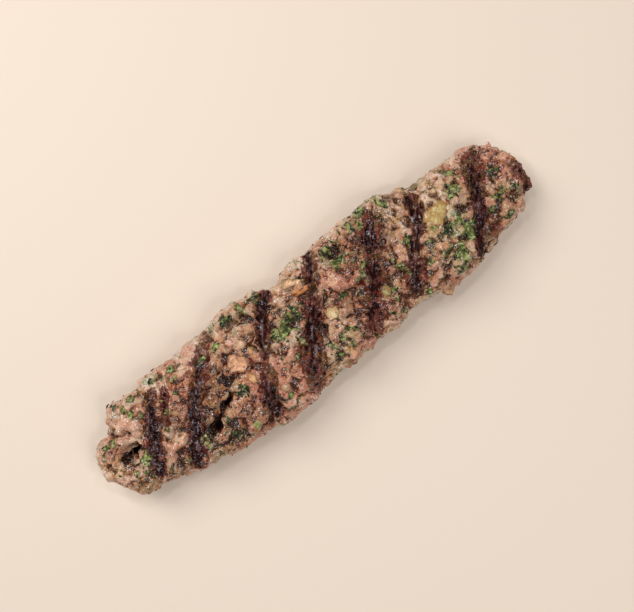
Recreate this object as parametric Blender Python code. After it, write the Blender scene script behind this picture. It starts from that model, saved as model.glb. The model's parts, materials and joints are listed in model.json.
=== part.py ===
"""A grilled kofta: one hand-pressed bar of minced meat, lying on its flat underside.

Metres, +Z up. X runs along the bar and Y across it. The origin is the middle of the bar's
bounding box, at the level of the surface that it lies on.
"""

import math

import bmesh
import bpy
import numpy as np
from mathutils import Vector, noise

MM = 0.001

# Driving sizes of the bar.
HEIGHT = 23.0 * MM
BASE_CUT = 0.9 * MM
SECTION_POWER = 2.6
END_POWER = 4.2
END_THINNING = 1.4
TIP_LEVEL = 9.0 * MM
SLAB_SIDE = 300.0 * MM

# The bar seen from above: its edge on the +Y side and on the -Y side, each from the lobed
# end at -X to the blunt end at +X, as (x, y) in millimetres.
TIP_X = (-104.6, 105.2)
TIP_Y = (-0.8, -3.0)
PLUS_Y_EDGE = (
    (-103.4, 3.6), (-100.0, 11.0), (-96.0, 14.4), (-90.6, 14.9), (-89.0, 18.6), (-86.4, 21.6),
    (-83.0, 22.6), (-76.0, 21.8), (-63.0, 23.2), (-54.0, 22.6), (-46.0, 25.0), (-37.0, 24.2),
    (-27.0, 25.9), (-16.0, 24.3), (-11.0, 24.2), (-8.0, 21.8), (-1.5, 20.6), (1.0, 23.0),
    (14.0, 24.4), (28.0, 25.7), (40.0, 25.9), (52.0, 24.2), (58.0, 22.0), (74.0, 20.6),
    (89.0, 19.6), (95.0, 16.6), (100.6, 13.6), (103.2, 5.6), (104.8, 0.6),
)
MINUS_Y_EDGE = (
    (-103.6, -3.0), (-101.0, -5.0), (-98.4, -9.6), (-95.0, -13.6), (-91.0, -15.2),
    (-84.0, -17.2), (-76.0, -19.6), (-66.0, -21.2), (-55.0, -23.8), (-44.0, -24.4),
    (-24.0, -25.4), (-8.0, -24.0), (6.0, -24.1), (18.0, -22.0), (30.0, -22.4), (38.0, -20.4),
    (50.0, -22.0), (62.0, -22.0), (74.0, -20.2), (86.0, -17.6), (94.0, -15.2), (99.0, -11.8),
    (103.4, -9.8), (104.8, -6.6),
)

# Lumps that the hand leaves: wavelength and height of each layer. They are lower underneath.
PRESSED_LUMPS = ((24.0 * MM, 1.3 * MM), (11.0 * MM, 0.9 * MM), (5.5 * MM, 0.5 * MM))
UNDERSIDE_LUMP_SHARE = 0.35

# Grooves that the grill bars press into the top: (x, y) of the -Y end and of the +Y end, mm.
GRILL_GROOVES = (
    ((-84.0, -12.0), (-64.0, 16.0)),
    ((-68.0, -18.0), (-41.0, 18.0)),
    ((-34.0, -21.0), (-8.5, 19.5)),
    ((-13.5, -20.0), (13.0, 21.0)),
    ((20.5, -16.5), (43.0, 18.0)),
    ((41.0, -16.0), (61.5, 18.0)),
    ((70.5, -19.0), (88.5, 13.0)),
)
GROOVE_DEPTH = 0.7 * MM
GROOVE_HALF_WIDTH = 2.8 * MM
GROOVE_WALL_POWER = 4.0

# Holes and cracks where the mince didn't close: centre x, y, half-length along X, half-width
# along Y, turn of the long axis in degrees, depth. All but the turn in millimetres.
PITS = (
    (-89.0, 1.8, 5.4, 2.3, 2.0, 8.0),
    (-91.5, -3.6, 5.0, 3.4, 10.0, 2.2),
    (-55.0, -9.5, 3.8, 2.0, 24.0, 5.0),
    (-45.5, -5.4, 4.2, 2.0, 12.0, 5.0),
    (-40.0, 3.0, 2.4, 3.4, 20.0, 3.0),
    (1.0, -4.2, 1.9, 1.9, 40.0, 2.6),
    (23.5, 16.5, 3.4, 2.6, 60.0, 2.6),
    (73.5, 0.8, 3.0, 2.0, 0.0, 2.4),
)
PIT_WALL_POWER = 1.4

# Mesh density: fine rings, from which Decimate keeps the faces that the shape needs.
STATIONS = 230
RING_POINTS = 88
END_CROWDING = 0.35
TIP_GAP = 0.25
KEPT_SHARE = 0.22

MEAT_COLOUR = (0.23, 0.115, 0.075, 1.0)
MEAT_ROUGHNESS = 0.55


def smooth_through(points, x):
    """Height at x of a curve that passes through the points without overshooting them."""
    px, py = (np.array(axis, float) for axis in zip(*points))
    slope = np.diff(py) / np.diff(px)
    tangent = np.concatenate([slope[:1], (slope[:-1] + slope[1:]) / 2, slope[-1:]])
    tangent[1:-1][slope[:-1] * slope[1:] <= 0] = 0
    limit = 3 * np.minimum(
        np.abs(np.concatenate([slope[:1], slope])), np.abs(np.concatenate([slope, slope[-1:]]))
    )
    tangent = np.clip(tangent, -limit, limit)
    i = int(np.clip(np.searchsorted(px, x) - 1, 0, len(slope) - 1))
    span = px[i + 1] - px[i]
    t = (x - px[i]) / span
    return float(
        (2 * t**3 - 3 * t**2 + 1) * py[i]
        + (t**3 - 2 * t**2 + t) * span * tangent[i]
        + (3 * t**2 - 2 * t**3) * py[i + 1]
        + (t**3 - t**2) * span * tangent[i + 1]
    )


def edge(points, x):
    """Y of one edge of the bar at x, both in metres, closing on the tips at both ends."""
    ends = [(TIP_X[0], TIP_Y[0]), *points, (TIP_X[1], TIP_Y[1])]
    return smooth_through(ends, x / MM) * MM


def end_taper(x):
    """1 over the middle of the bar, falling to 0 at its tips as a blunt round end does."""
    middle = (TIP_X[0] + TIP_X[1]) / 2 * MM
    half = (TIP_X[1] - TIP_X[0]) / 2 * MM
    share = min(abs(x - middle) / half, 1.0)
    return (1 - share**END_POWER) ** (1 / END_POWER)


def pressed_lumps(point):
    """How far the hand-pressed surface stands out at a point."""
    return sum(
        height * noise.noise(point / wavelength) for wavelength, height in PRESSED_LUMPS
    )


def groove_depth(x, y):
    """Depth of the nearest grill groove at a place on the top."""
    depth = 0.0
    for start, end in GRILL_GROOVES:
        a, b = Vector(start) * MM, Vector(end) * MM
        along = b - a
        t = min(max((Vector((x, y)) - a).dot(along) / along.length_squared, 0.0), 1.0)
        gap = (Vector((x, y)) - (a + along * t)).length / GROOVE_HALF_WIDTH
        depth = max(depth, GROOVE_DEPTH * math.exp(-(gap**GROOVE_WALL_POWER)))
    return depth


def pit_depth(x, y):
    """Depth of the holes and cracks at a place on the top."""
    depth = 0.0
    for pit_x, pit_y, half_length, half_width, turn, deepest in PITS:
        c, s = math.cos(math.radians(turn)), math.sin(math.radians(turn))
        dx, dy = x / MM - pit_x, y / MM - pit_y
        along, across = (dx * c + dy * s) / half_length, (dy * c - dx * s) / half_width
        depth = max(
            depth, deepest * MM * math.exp(-((along**2 + across**2) ** PIT_WALL_POWER))
        )
    return depth


def station_places():
    """X of each cross-section, crowded towards the tips where the outline turns.

    The first and the last keep a gap to the tip, as a share of the usual spacing.
    """
    low, high = TIP_X[0] * MM, TIP_X[1] * MM
    places = []
    for i in range(STATIONS):
        t = (i + TIP_GAP) / (STATIONS - 1 + 2 * TIP_GAP)
        eased = (1 - math.cos(math.pi * t)) / 2
        places.append(low + (high - low) * (t + END_CROWDING * (eased - t)))
    return places


def signed_power(value, power):
    return math.copysign(abs(value) ** power, value)


def cross_section(x):
    """Points of the cross-section at x, counterclockwise seen from +X."""
    plus, minus = edge(PLUS_Y_EDGE, x), edge(MINUS_Y_EDGE, x)
    middle, half_width = (plus + minus) / 2, (plus - minus) / 2
    taper = end_taper(x)
    full = HEIGHT + 2 * BASE_CUT
    half_height = full / 2 * taper**END_THINNING
    level = TIP_LEVEL + (full / 2 - BASE_CUT - TIP_LEVEL) * taper
    ring = []
    for i in range(RING_POINTS):
        angle = 2 * math.pi * i / RING_POINTS
        across = signed_power(math.cos(angle), 2 / SECTION_POWER)
        up = signed_power(math.sin(angle), 2 / SECTION_POWER)
        outward = Vector(
            (
                0.0,
                signed_power(across, SECTION_POWER - 1) / half_width,
                signed_power(up, SECTION_POWER - 1) / half_height,
            )
        ).normalized()
        point = Vector((x, middle + half_width * across, level + half_height * up))
        lump_share = 1 - (1 - UNDERSIDE_LUMP_SHARE) * max(-up, 0.0)
        point += outward * pressed_lumps(point) * taper * lump_share
        if up > 0:
            point.z -= (groove_depth(point.x, point.y) + pit_depth(point.x, point.y)) * up
        ring.append(point)
    return ring


def meat_material():
    material = bpy.data.materials.new("grilled_mince")
    material.use_nodes = True
    shader = material.node_tree.nodes["Principled BSDF"]
    shader.inputs["Base Color"].default_value = MEAT_COLOUR
    shader.inputs["Roughness"].default_value = MEAT_ROUGHNESS
    shader.inputs["Metallic"].default_value = 0.0
    return material


def surface_below():
    """What the bar lies on, as a slab whose top is at z = 0. It cuts the underside flat."""
    bpy.ops.mesh.primitive_cube_add(size=SLAB_SIDE, location=(0, 0, -SLAB_SIDE / 2))
    slab = bpy.context.object
    slab.name = "surface_below"
    slab.hide_render = True
    slab.display_type = "WIRE"
    return slab


def kofta():
    """The bar: its cross-sections joined by faces, closed at each tip and cut flat below."""
    shape = bmesh.new()
    rings = [[shape.verts.new(p) for p in cross_section(x)] for x in station_places()]
    for near, far in zip(rings[:-1], rings[1:]):
        for i in range(RING_POINTS):
            j = (i + 1) % RING_POINTS
            shape.faces.new((near[i], near[j], far[j], far[i]))
    for ring, tip_x, sense in ((rings[0], TIP_X[0], 1), (rings[-1], TIP_X[1], -1)):
        centre = sum((v.co for v in ring), Vector()) / RING_POINTS
        tip = shape.verts.new((tip_x * MM, centre.y, centre.z))
        for i in range(RING_POINTS):
            shape.faces.new((ring[i], tip, ring[(i + 1) % RING_POINTS])[::sense])
    bmesh.ops.recalc_face_normals(shape, faces=shape.faces)
    corners = np.array([v.co for v in shape.verts])
    middle = (corners.min(axis=0) + corners.max(axis=0)) / 2
    bmesh.ops.translate(shape, verts=shape.verts, vec=(-middle[0], -middle[1], 0.0))
    mesh = bpy.data.meshes.new("kofta")
    shape.to_mesh(mesh)
    shape.free()
    mesh.shade_smooth()
    mesh.materials.append(meat_material())
    bar = bpy.data.objects.new("kofta", mesh)
    bpy.context.scene.collection.objects.link(bar)
    bar.modifiers.new("keep_needed_faces", "DECIMATE").ratio = KEPT_SHARE
    flat = bar.modifiers.new("cut_flat_underneath", "BOOLEAN")
    flat.operation = "DIFFERENCE"
    flat.object = surface_below()
    return bar


def main():
    for old in list(bpy.data.objects):
        bpy.data.objects.remove(old)
    kofta()


main()
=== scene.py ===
import json
import math

import bmesh
import bpy
import numpy as np
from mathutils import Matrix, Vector, noise

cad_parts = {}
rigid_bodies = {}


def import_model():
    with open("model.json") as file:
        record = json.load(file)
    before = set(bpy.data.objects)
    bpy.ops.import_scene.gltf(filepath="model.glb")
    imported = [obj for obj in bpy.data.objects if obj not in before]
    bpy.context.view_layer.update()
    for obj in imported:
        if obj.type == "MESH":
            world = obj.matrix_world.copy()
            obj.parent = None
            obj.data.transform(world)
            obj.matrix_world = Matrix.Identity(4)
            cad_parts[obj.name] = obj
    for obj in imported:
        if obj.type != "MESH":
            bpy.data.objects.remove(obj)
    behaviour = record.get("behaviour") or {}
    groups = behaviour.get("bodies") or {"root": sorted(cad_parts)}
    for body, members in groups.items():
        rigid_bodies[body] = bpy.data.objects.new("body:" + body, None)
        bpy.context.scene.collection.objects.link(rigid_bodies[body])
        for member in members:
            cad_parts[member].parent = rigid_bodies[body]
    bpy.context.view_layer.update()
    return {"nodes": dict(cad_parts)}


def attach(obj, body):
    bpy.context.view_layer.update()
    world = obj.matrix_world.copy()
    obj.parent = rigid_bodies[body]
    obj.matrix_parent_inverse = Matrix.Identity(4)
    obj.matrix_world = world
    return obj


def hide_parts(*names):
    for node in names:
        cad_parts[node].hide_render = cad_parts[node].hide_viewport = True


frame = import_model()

MM = 0.001


# ---- Table top, lamp and camera ---------------------------------------------------------------
# A pale warm table top under one wide soft window of light, with a faint fill all round.
# The camera hangs straight above the kofta and is turned, so that the bar lies across the
# picture from lower left to upper right.

BAR_TURN = math.radians(37.16)          # of the bar's length above the picture's lower edge
CAMERA_RISE = 0.42                      # above the level of the bar's widest outline
GIRTH_LEVEL = 0.010
PICTURE_WIDTH = 0.2546                  # what the picture spans at that level
PICTURE_MIDDLE = (0.0050, 0.0040)
TABLE_HALF_SIDE, TABLE_DROP = 3.0, 0.0002
TABLE_COLOUR, TABLE_ROUGHNESS = (0.755, 0.625, 0.505, 1.0), 0.6


def put(name, data):
    """A new object of the scene."""
    made = bpy.data.objects.new(name, data)
    bpy.context.scene.collection.objects.link(made)
    return made


camera = put("camera", bpy.data.cameras.new("camera"))
bpy.context.scene.camera = camera
camera.data.sensor_width = 36.0
camera.data.lens = camera.data.sensor_width * CAMERA_RISE / PICTURE_WIDTH
camera.data.clip_start, camera.data.clip_end = 0.02, 20.0
camera.location = (*PICTURE_MIDDLE, GIRTH_LEVEL + CAMERA_RISE)
camera.rotation_euler = (0.0, 0.0, -BAR_TURN)

table = put("table_top", bpy.data.meshes.new("table_top"))
net = bmesh.new()
bmesh.ops.create_grid(net, x_segments=1, y_segments=1, size=TABLE_HALF_SIDE)
bmesh.ops.translate(net, verts=net.verts, vec=(0.0, 0.0, -TABLE_DROP))
net.to_mesh(table.data)
net.free()

plain = bpy.data.materials.new("table_top")
plain.use_nodes = True
shader = plain.node_tree.nodes["Principled BSDF"]
shader.inputs["Base Color"].default_value = TABLE_COLOUR
shader.inputs["Roughness"].default_value = TABLE_ROUGHNESS
table.data.materials.append(plain)

WARM, COOL = (1.0, 0.99, 0.98), (0.92, 0.96, 1.0)
for name, side, energy, position, tint in (
    ("window_light", 0.55, 6.7, (-0.22, 0.66, 0.78), WARM),
    ("fill_light", 0.60, 3.6, (0.20, -0.60, 0.95), WARM),
    ("first_pane_light", 0.085, 0.9, (-0.34, 0.30, 1.00), COOL),
    ("second_pane_light", 0.085, 0.9, (0.30, 0.34, 1.00), COOL),
    ("third_pane_light", 0.085, 0.9, (-0.06, 0.36, 1.04), COOL),
    ("fourth_pane_light", 0.085, 0.85, (0.16, -0.34, 1.02), COOL),
    ("fifth_pane_light", 0.085, 0.85, (-0.36, -0.14, 1.00), COOL),
    ("sixth_pane_light", 0.085, 0.85, (0.42, 0.02, 0.98), COOL),
):
    lamp = put(name, bpy.data.lights.new(name, "AREA"))
    lamp.data.size, lamp.data.energy, lamp.data.color = side, energy, tint
    lamp.location = position
    lamp.rotation_euler = (-lamp.location).to_track_quat("-Z", "Y").to_euler()

bpy.context.scene.view_settings.view_transform = "Standard"

# The room is lighter round the sides than overhead, so wet things don't look hazy from above.
ROOM_SHADES = ((0.22, (0.97, 0.98, 1.0)), (0.60, (0.08, 0.08, 0.085)))      # sides, ceiling
ROOM_STRENGTH = 0.52
room = bpy.data.worlds.new("room")
bpy.context.scene.world = room
room.use_nodes = True
knots, ties = room.node_tree.nodes, room.node_tree.links
knots["Background"].inputs["Strength"].default_value = ROOM_STRENGTH
split = knots.new("ShaderNodeSeparateXYZ")
ties.new(knots.new("ShaderNodeTexCoord").outputs["Generated"], split.inputs[0])
blend = knots.new("ShaderNodeValToRGB")
for stop, (height, shade) in zip(blend.color_ramp.elements, ROOM_SHADES):
    stop.position, stop.color = height, (*shade, 1.0)
ties.new(split.outputs["Z"], blend.inputs["Fac"])
ties.new(blend.outputs["Color"], knots["Background"].inputs["Color"])


# ---- The meat ---------------------------------------------------------------------------------
# Coarsely minced lamb, kneaded with herbs, onion and pepper and pressed to a bar by hand.
# Crumbs of mince stand out of its top, the flanks are pressed smooth, and bars of the grill
# have burnt dark marks across it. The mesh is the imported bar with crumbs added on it.


class Wire:
    """A node's output in a tree. Arithmetic on it adds the Math nodes that work it out."""

    def __init__(self, tree, socket=None):
        self.tree, self.socket = tree, socket

    def node(self, kind, settings=None, sockets=None, output=0):
        """Adds a node: first its settings, then the values or wires of its sockets."""
        made = self.tree.nodes.new(kind)
        for name, value in (settings or {}).items():
            setattr(made, name, value)
        for key, value in (sockets or {}).items():
            found = [s for s in made.inputs if s.enabled and s.name == key]
            socket = made.inputs[key] if isinstance(key, int) else found[0]
            if isinstance(value, Wire):
                self.tree.links.new(value.socket, socket)
            else:
                socket.default_value = value
        shown = [s for s in made.outputs if s.enabled]
        names = [s.name for s in shown]
        return Wire(self.tree, shown[names.index(output) if isinstance(output, str) else output])

    def math(self, operation, *values):
        return self.node("ShaderNodeMath", {"operation": operation}, dict(enumerate(values)))

    def __add__(self, other):
        return self.math("ADD", self, other)

    def __sub__(self, other):
        return self.math("SUBTRACT", self, other)

    def __rsub__(self, other):
        return self.math("SUBTRACT", other, self)

    def __mul__(self, other):
        return self.math("MULTIPLY", self, other)

    def __truediv__(self, other):
        return self.math("DIVIDE", self, other)

    def __rtruediv__(self, other):
        return self.math("DIVIDE", other, self)

    def __pow__(self, other):
        return self.math("POWER", self, other)

    __radd__, __rmul__ = __add__, __mul__

    def at_least(self, other):
        return self.math("MAXIMUM", self, other)

    def at_most(self, other):
        return self.math("MINIMUM", self, other)

    def rise(self, low, high):
        """A smooth step: 0 up to low and 1 from high. It falls if low is the larger."""
        if low > high:
            return 1 - self.rise(high, low)
        sockets = {"Value": self, "From Min": low, "From Max": high}
        return self.node("ShaderNodeMapRange", {"interpolation_type": "SMOOTHSTEP"}, sockets)

    def colours(self, first, second):
        """The first colour where this is 0, the second where it is 1."""
        first, second = (c if isinstance(c, Wire) else (*c, 1.0) for c in (first, second))
        sockets = {"Factor": self, "A": first, "B": second}
        return self.node("ShaderNodeMix", {"data_type": "RGBA"}, sockets)

    def ramp(self, *stops):
        """Colours along a ramp: each stop is a place on it and the colour there."""
        made = self.node("ShaderNodeValToRGB", {}, {"Fac": self}, "Color")
        line = made.socket.node.color_ramp.elements
        while len(line) < len(stops):
            line.new(0.5)
        for stop, (at, colour) in zip(line, stops):
            stop.position, stop.color = at, (*colour, 1.0)
        return made

    def vector(self, operation, *values, output=0):
        sockets = dict(enumerate(values))
        return self.node("ShaderNodeVectorMath", {"operation": operation}, sockets, output)

    def scaled(self, by):
        """This vector times a number."""
        return self.node("ShaderNodeVectorMath", {"operation": "SCALE"}, {0: self, 3: by})

    def part(self, axis):
        """What this vector measures along an axis."""
        return self.node("ShaderNodeSeparateXYZ", {}, {0: self}, axis)

    def bump(self, distance, strength=1.0):
        """A normal that makes this look like a height."""
        sockets = {"Strength": strength, "Distance": distance, "Height": self}
        return self.node("ShaderNodeBump", {}, sockets, "Normal")

    def random(self, low, high, seed, kind="FLOAT"):
        """A random value of each point, between low and high."""
        sockets = {"Min": low, "Max": high, "Seed": seed}
        return self.node("FunctionNodeRandomValue", {"data_type": kind}, sockets)

    def speckle(self, size, detail=2.0, distortion=0.0, roughness=0.5):
        """Noise about 0.5 at this place, with features of a size in millimetres."""
        sockets = {"Vector": self, "Scale": 1.0 / (size * MM), "Detail": detail}
        sockets = {**sockets, "Roughness": roughness, "Distortion": distortion}
        return self.node("ShaderNodeTexNoise", {}, sockets)

    def cells(self, size, smoothness, output="Distance"):
        """Round cells of a size in millimetres that run into each other."""
        sockets = {"Vector": self, "Scale": 1.0 / (size * MM), "Smoothness": smoothness}
        return self.node("ShaderNodeTexVoronoi", {"feature": "SMOOTH_F1"}, sockets, output)

    def shift(self, size, reach, detail=2.0):
        """A shift that changes from place to place, by noise of a size, both in metres."""
        sockets = {"Vector": self, "Scale": 1.0 / size, "Detail": detail}
        swirl = self.node("ShaderNodeTexNoise", {}, sockets, "Color")
        return self.vector("SUBTRACT", swirl, (0.5, 0.5, 0.5)).scaled(reach)

    def stored(self, name, field="Fac"):
        """What the mesh stores under a name."""
        if self.tree.type == "SHADER":
            return self.node("ShaderNodeAttribute", {"attribute_name": name}, {}, field)
        settings = {"data_type": "FLOAT"}
        return self.node("GeometryNodeInputNamedAttribute", settings, {"Name": name})

    def storing(self, name, value):
        """This mesh with a value of its points stored under a name."""
        settings = {"data_type": "FLOAT", "domain": "POINT"}
        sockets = {"Geometry": self, "Name": name, "Value": value}
        return self.node("GeometryNodeStoreNamedAttribute", settings, sockets)

    def moved(self, **sockets):
        """This mesh with its points moved to a Position or by an Offset."""
        return self.node("GeometryNodeSetPosition", {}, {"Geometry": self, **sockets})


def solidified(name, source):
    """A new object with a plain mesh of the source as its modifiers leave it."""
    evaluated = source.evaluated_get(bpy.context.evaluated_depsgraph_get())
    mesh = bpy.data.meshes.new_from_object(evaluated)
    mesh.name = name
    return put(name, mesh)


def geometry_tree(name, sizes):
    """A Geometry Nodes tree: the wires of its inputs, places on the mesh, and what grows a piece."""
    tree = bpy.data.node_groups.new(name, "GeometryNodeTree")
    kinds = {float: "NodeSocketFloat", int: "NodeSocketInt"}
    tree.interface.new_socket("Mesh", in_out="OUTPUT", socket_type="NodeSocketGeometry")
    tree.interface.new_socket("Mesh", in_out="INPUT", socket_type="NodeSocketGeometry")
    for size, value in sizes.items():
        kind = kinds.get(type(value), "NodeSocketObject")
        tree.interface.new_socket(size, in_out="INPUT", socket_type=kind)
    entry = tree.nodes.new("NodeGroupInput")
    wires = {s.name: Wire(tree, s) for s in entry.outputs if s.name}
    start = wires["Mesh"]

    def grow(piece, source, mesh, material):
        """Ends the tree at a mesh. What it makes of the source's mesh is a new object's mesh."""
        whole = start.node("GeometryNodeRealizeInstances", {}, {"Geometry": mesh})
        whole = start.node("GeometryNodeSetMaterial", {}, {"Geometry": whole, "Material": material})
        tree.links.new(whole.socket, tree.nodes.new("NodeGroupOutput").inputs[0])
        modifier = source.modifiers.new(name, "NODES")
        modifier.node_group = tree
        for socket in tree.interface.items_tree:
            if socket.in_out == "INPUT" and socket.name in sizes:
                modifier[socket.identifier] = sizes[socket.name]
        made = solidified(piece, source)
        source.modifiers.clear()
        return made

    return wires, start.node("GeometryNodeInputPosition"), grow


def points_of(mesh, what="vertices", field="co"):
    found = np.empty(len(getattr(mesh, what)) * 3, np.float32)
    getattr(mesh, what).foreach_get(field, found)
    return found.reshape(-1, 3).astype(float)


def keep_values(mesh, name, values):
    layer = mesh.attributes.get(name) or mesh.attributes.new(name, "FLOAT", "POINT")
    layer.data.foreach_set("value", np.asarray(values, np.float32))


def smooth_step(value, low, high):
    t = np.clip((value - low) / (high - low), 0.0, 1.0)
    return t * t * (3.0 - 2.0 * t)


# Marks of the grill bars. Each is a chain of places that a bar touched: x, y and half the width
# in millimetres, and how burnt it is there, from wine red at 0.4 to black at 1.
TOP_MARKS = (
    ((-83.7, -10.5, 2, 0.9), (-82.2, -6.8, 2.7, 1), (-79.4, -2.8, 2.7, 1), (-77.2, 0.8, 2.4, 0.95),
     (-74, 7, 2.5, 1), (-70.7, 11.8, 2.1, 0.9), (-68, 15.4, 1.8, 0.6)),
    ((-70.6, 1, 0.9, 0.5), (-67.6, 6.3, 1.3, 0.6), (-65.2, 9.8, 1.4, 0.65), (-62.9, 14, 1.2, 0.55)),
    ((-69.8, -17.3, 2, 0.9), (-66.3, -12.4, 2.7, 1), (-62.1, -6.9, 2.3, 1), (-59.4, -2, 2.3, 1),
     (-55.2, 3.5, 2.1, 0.8), (-50.4, 7.7, 2.3, 0.85), (-46.2, 12.5, 2.8, 0.7), (-40.7, 17.4, 2, 0.5),
     (-37.8, 20.9, 1.5, 0.45)),
    ((-32.3, -18.8, 2.6, 1), (-30.3, -13.1, 3, 0.88), (-28.1, -8.3, 2.7, 0.75),
     (-25.4, -4.1, 1.9, 0.55)),
    ((-22.8, 0.4, 1.3, 0.5), (-19.8, 6.3, 2.1, 0.85), (-15.7, 11.8, 2.3, 0.95), (-11.5, 17.4, 2.3, 1),
     (-8.7, 20.2, 2, 0.9)),
    ((-13.6, -20.8, 2.2, 0.5), (-10.1, -13.8, 3.6, 0.75), (-6.7, -8.3, 3.4, 0.8),
     (-3.2, -3.4, 2.8, 0.9), (1.1, 0.8, 2.5, 1), (3.4, 5.2, 3, 0.75), (5.8, 10, 2.4, 0.6)),
    ((9.2, 13.4, 2.4, 0.7), (12.7, 19.3, 2.6, 0.7), (13.9, 22.6, 1.6, 0.95)),
    ((18.4, -16.4, 2.6, 0.6), (21.6, -11.4, 3.8, 0.78), (23.8, -8.3, 2.2, 0.6)),
    ((25.4, -5.4, 2.8, 0.7), (28.4, -1.5, 4.2, 0.85), (31.3, 1.9, 3.8, 0.85), (33.7, 4.9, 2.4, 0.6)),
    ((34, 8.4, 2.4, 0.6), (36.6, 12.1, 4.2, 0.85), (39.5, 15.1, 3.8, 0.75), (42.3, 18.8, 2.6, 0.5)),
    ((40.4, -14, 2.4, 0.95), (42.9, -10.2, 3.7, 0.78), (44.9, -7.3, 3.5, 0.7), (47.6, -3.4, 2, 0.6)),
    ((49.2, -1.5, 2.3, 1), (48.8, 2.2, 1.9, 0.85)),
    ((51.2, 1, 0.9, 0.7), (53.8, 3.5, 1.6, 0.9), (55.3, 7, 1.6, 0.95), (57.4, 11.8, 1.7, 1),
     (58.8, 16, 1.5, 0.9)),
    ((56.3, 3.6, 0.8, 0.7), (57.6, 6.3, 1.3, 0.85), (59.7, 10.5, 1.4, 0.9), (61.4, 14.7, 1.2, 0.7)),
    ((69.8, -18.6, 1.8, 0.9), (71.9, -13.8, 2, 1), (76.1, -8.3, 2, 1), (79.5, -2.7, 2, 1),
     (82.3, 3.5, 2.4, 0.95), (85.8, 9.1, 3.1, 0.8), (88.1, 13.6, 2.6, 0.55)),
    ((75.8, -12.4, 2.6, 0.45), (79.4, -14.4, 2.4, 0.45)),
    ((100.8, -9, 2.2, 0.8), (101.8, -5.2, 2, 0.6), (100.6, 0.4, 2.6, 0.4)),
)
# The marks underneath cross the bar at these places along it.
UNDER_MARK_PLACES = (-78.0, -57.0, -35.0, -14.0, 8.0, 30.0, 51.0, 73.0)
UNDER_MARKS = tuple(
    ((x - 11.0, -19.0, 2.8, 0.9), (x + 11.0, 19.0, 2.8, 0.9)) for x in UNDER_MARK_PLACES
)
FAR_FROM_MARKS = 9.0                    # half-widths


def marks_at(places, marks):
    """How far each place is from the nearest mark, in half-widths, and how burnt that mark is."""
    nearest, burnt = np.full(len(places), FAR_FROM_MARKS), np.zeros(len(places))
    for chain in marks:
        for start, end in zip(chain[:-1], chain[1:]):
            start, end = np.array(start), np.array(end)
            span = (end - start)[:2]
            along = np.clip((places[:, :2] / MM - start[:2]) @ span / (span @ span), 0.0, 1.0)
            here = start + along[:, None] * (end - start)
            gap = np.linalg.norm(places[:, :2] / MM - here[:, :2], axis=1) / here[:, 2]
            burnt = np.where(gap < nearest, here[:, 3], burnt)
            nearest = np.minimum(nearest, gap)
    return nearest, burnt


# Holes where the mince didn't close: centre x, y, half-length, half-width, turn in degrees,
# depth below the crumbs round it. All but the turn in millimetres.
HOLES = (
    (-87, 1.7, 2.4, 0.65, 4, 5), (-89.8, 2, 2.4, 0.35, -4, 3.5), (-68, 6.2, 1.6, 0.5, -10, 1.8),
    (-55.4, -9.8, 2.1, 1, 34, 4), (-51.2, -7.6, 2.2, 0.6, 30, 2.8), (-45.2, -4.7, 2.6, 1, 14, 4),
    (-59.6, -12.4, 1.4, 0.5, 40, 1.6), (-38.6, 2.4, 0.9, 0.6, 60, 2), (-41.6, 7, 0.9, 0.45, 20, 1.6),
    (-42.4, 4.6, 0.5, 0.25, 50, 1), (-40.2, -0.6, 0.25, 0.8, 10, 1.2),
    (-28.2, 6.6, 0.9, 0.8, -30, 1.8), (1.4, -3.9, 0.9, 0.7, 20, 2), (7.4, 17.2, 1.3, 0.5, 30, 1.6),
    (9, 12.6, 1.3, 0.4, -10, 1.6), (24.8, 17.4, 0.5, 2.2, -4, 2), (21, 13.2, 1.2, 0.4, 50, 1.4),
    (24.4, 6.2, 0.8, 0.6, 35, 1.8), (20, -1.4, 2, 0.3, 10, 1.2), (64.7, 9.7, 0.7, 0.5, 0, 1.8),
    (40.8, -12.9, 0.8, 0.8, 0, 1.2), (-9.6, 18.6, 1.2, 0.4, 50, 1.2), (-78.4, -3.2, 1.4, 0.3, 20, 1),
)
# Wide shallow hollows: centre x, y, half-length, half-width, turn and depth.
DIPS = (
    (-91, -2.6, 6, 3.4, 8, 1.8), (-51, -7.4, 8, 1.4, 28, 0.9), (-42.4, 0.4, 2, 3.6, -20, 0.25),
    (-69, -4, 4.6, 4, 0, 0.5), (22.8, 15.6, 3.4, 2.2, 60, 0.8), (72.2, 1.2, 2.6, 2.2, 30, 1.2),
    (-86.8, 7.6, 2.6, 3, 0, 0.4),
)
# Lumps that stand out: centre x, y, half-length, half-width, turn and height.
LUMPS = (
    (-93, 8.2, 7, 3.4, 14, 1.5), (-33, 4.6, 3.8, 3.4, 0, 1.9), (15.4, 7.4, 5.6, 4.2, -30, 1.5),
    (-23.6, -14.2, 2.2, 2.2, 0, 0.6), (-10, -10, 6, 3.4, 40, 0.9), (4, -11, 6, 3, 30, 0.9),
    (5, -18, 6, 3, 12, 0.9), (88, -1, 2.8, 2.8, 0, 0.8), (91, 13, 6, 4, -30, 1),
    (36, -5, 4, 3, 60, 0.8), (-78, -8, 4, 3.4, 0, 0.8), (-56, 8, 5, 4, 30, 0.8),
    (-49, 18, 6, 4, 0, 0.9), (56, -9, 5, 3.4, 20, 0.8), (-24, 14, 5, 4, 50, 0.8),
)


# Without a seed of its own the vector noise would differ in each run.
noise.seed_set(3)

# Size and reach in millimetres of the noise that makes holes and regions ragged.
HOLE_RAGS, REGION_RAGS = ((4.0, 1.5), (1.5, 0.8)), ((9.0, 4.0), (2.5, 1.2))
RAGS_START = Vector((3.1, 7.7, 1.3))
# A hollow has no depth beyond this many half-lengths and as many millimetres.
OUT_OF_REACH = 2.0
HOLE_WALL, DIP_WALL = 1.7, 1.6


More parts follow.
